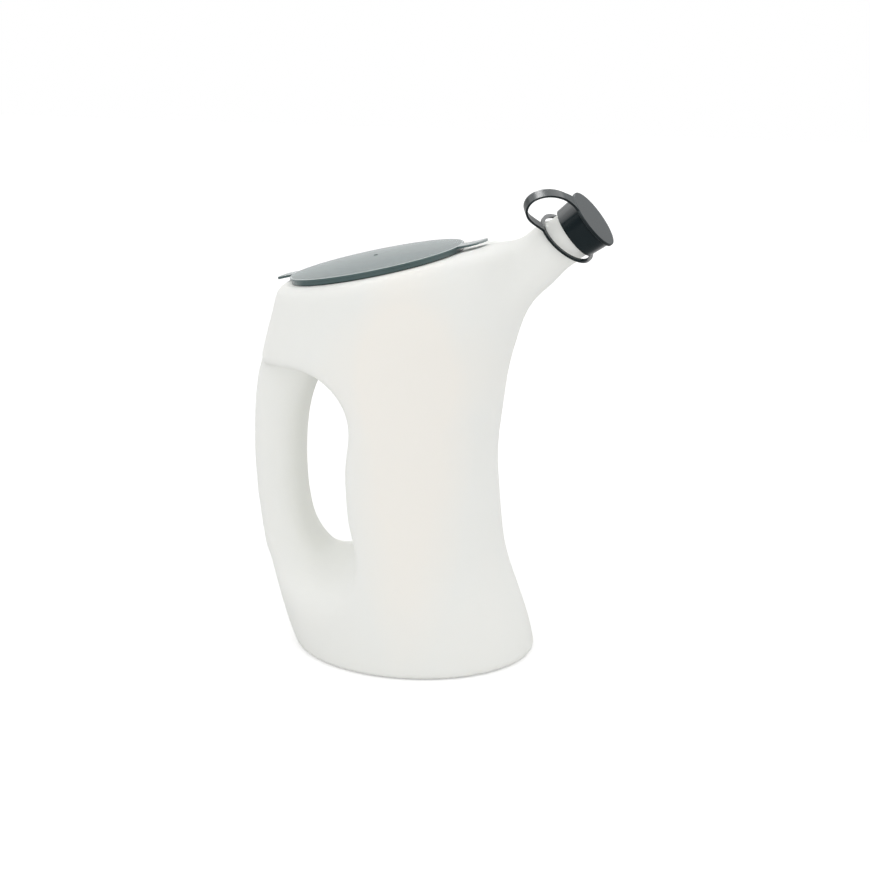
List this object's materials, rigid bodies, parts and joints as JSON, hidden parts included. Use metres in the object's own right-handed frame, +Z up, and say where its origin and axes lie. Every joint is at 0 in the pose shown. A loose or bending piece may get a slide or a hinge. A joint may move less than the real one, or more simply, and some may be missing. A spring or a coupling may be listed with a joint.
{
  "type": "measuring jug with lid",
  "caption": "Hollow blow-moulded plastic jug with a scooped grip, a wide mouth under a domed lid with pull tabs, and a slanted spout closed by a cap on a strap.",
  "frame": {"origin": "middle of the base between its ends, on the surface that the jug stands on", "axes": "+Z up, +X the way the spout points, the grip is at the -X side"},
  "size_m": [0.235, 0.1346, 0.3089],
  "materials": {
    "jug_body": "milky natural polyethylene, soft satin",
    "mouth_lid": "dark grey, satin gloss",
    "spout_cap": "near black, glossy cup, satin disc and strap"
  },
  "bodies": {
    "root": {"jug_body": "jug_body", "mouth_lid": "mouth_lid", "spout_cap": "spout_cap"}
  },
  "joints": []
}
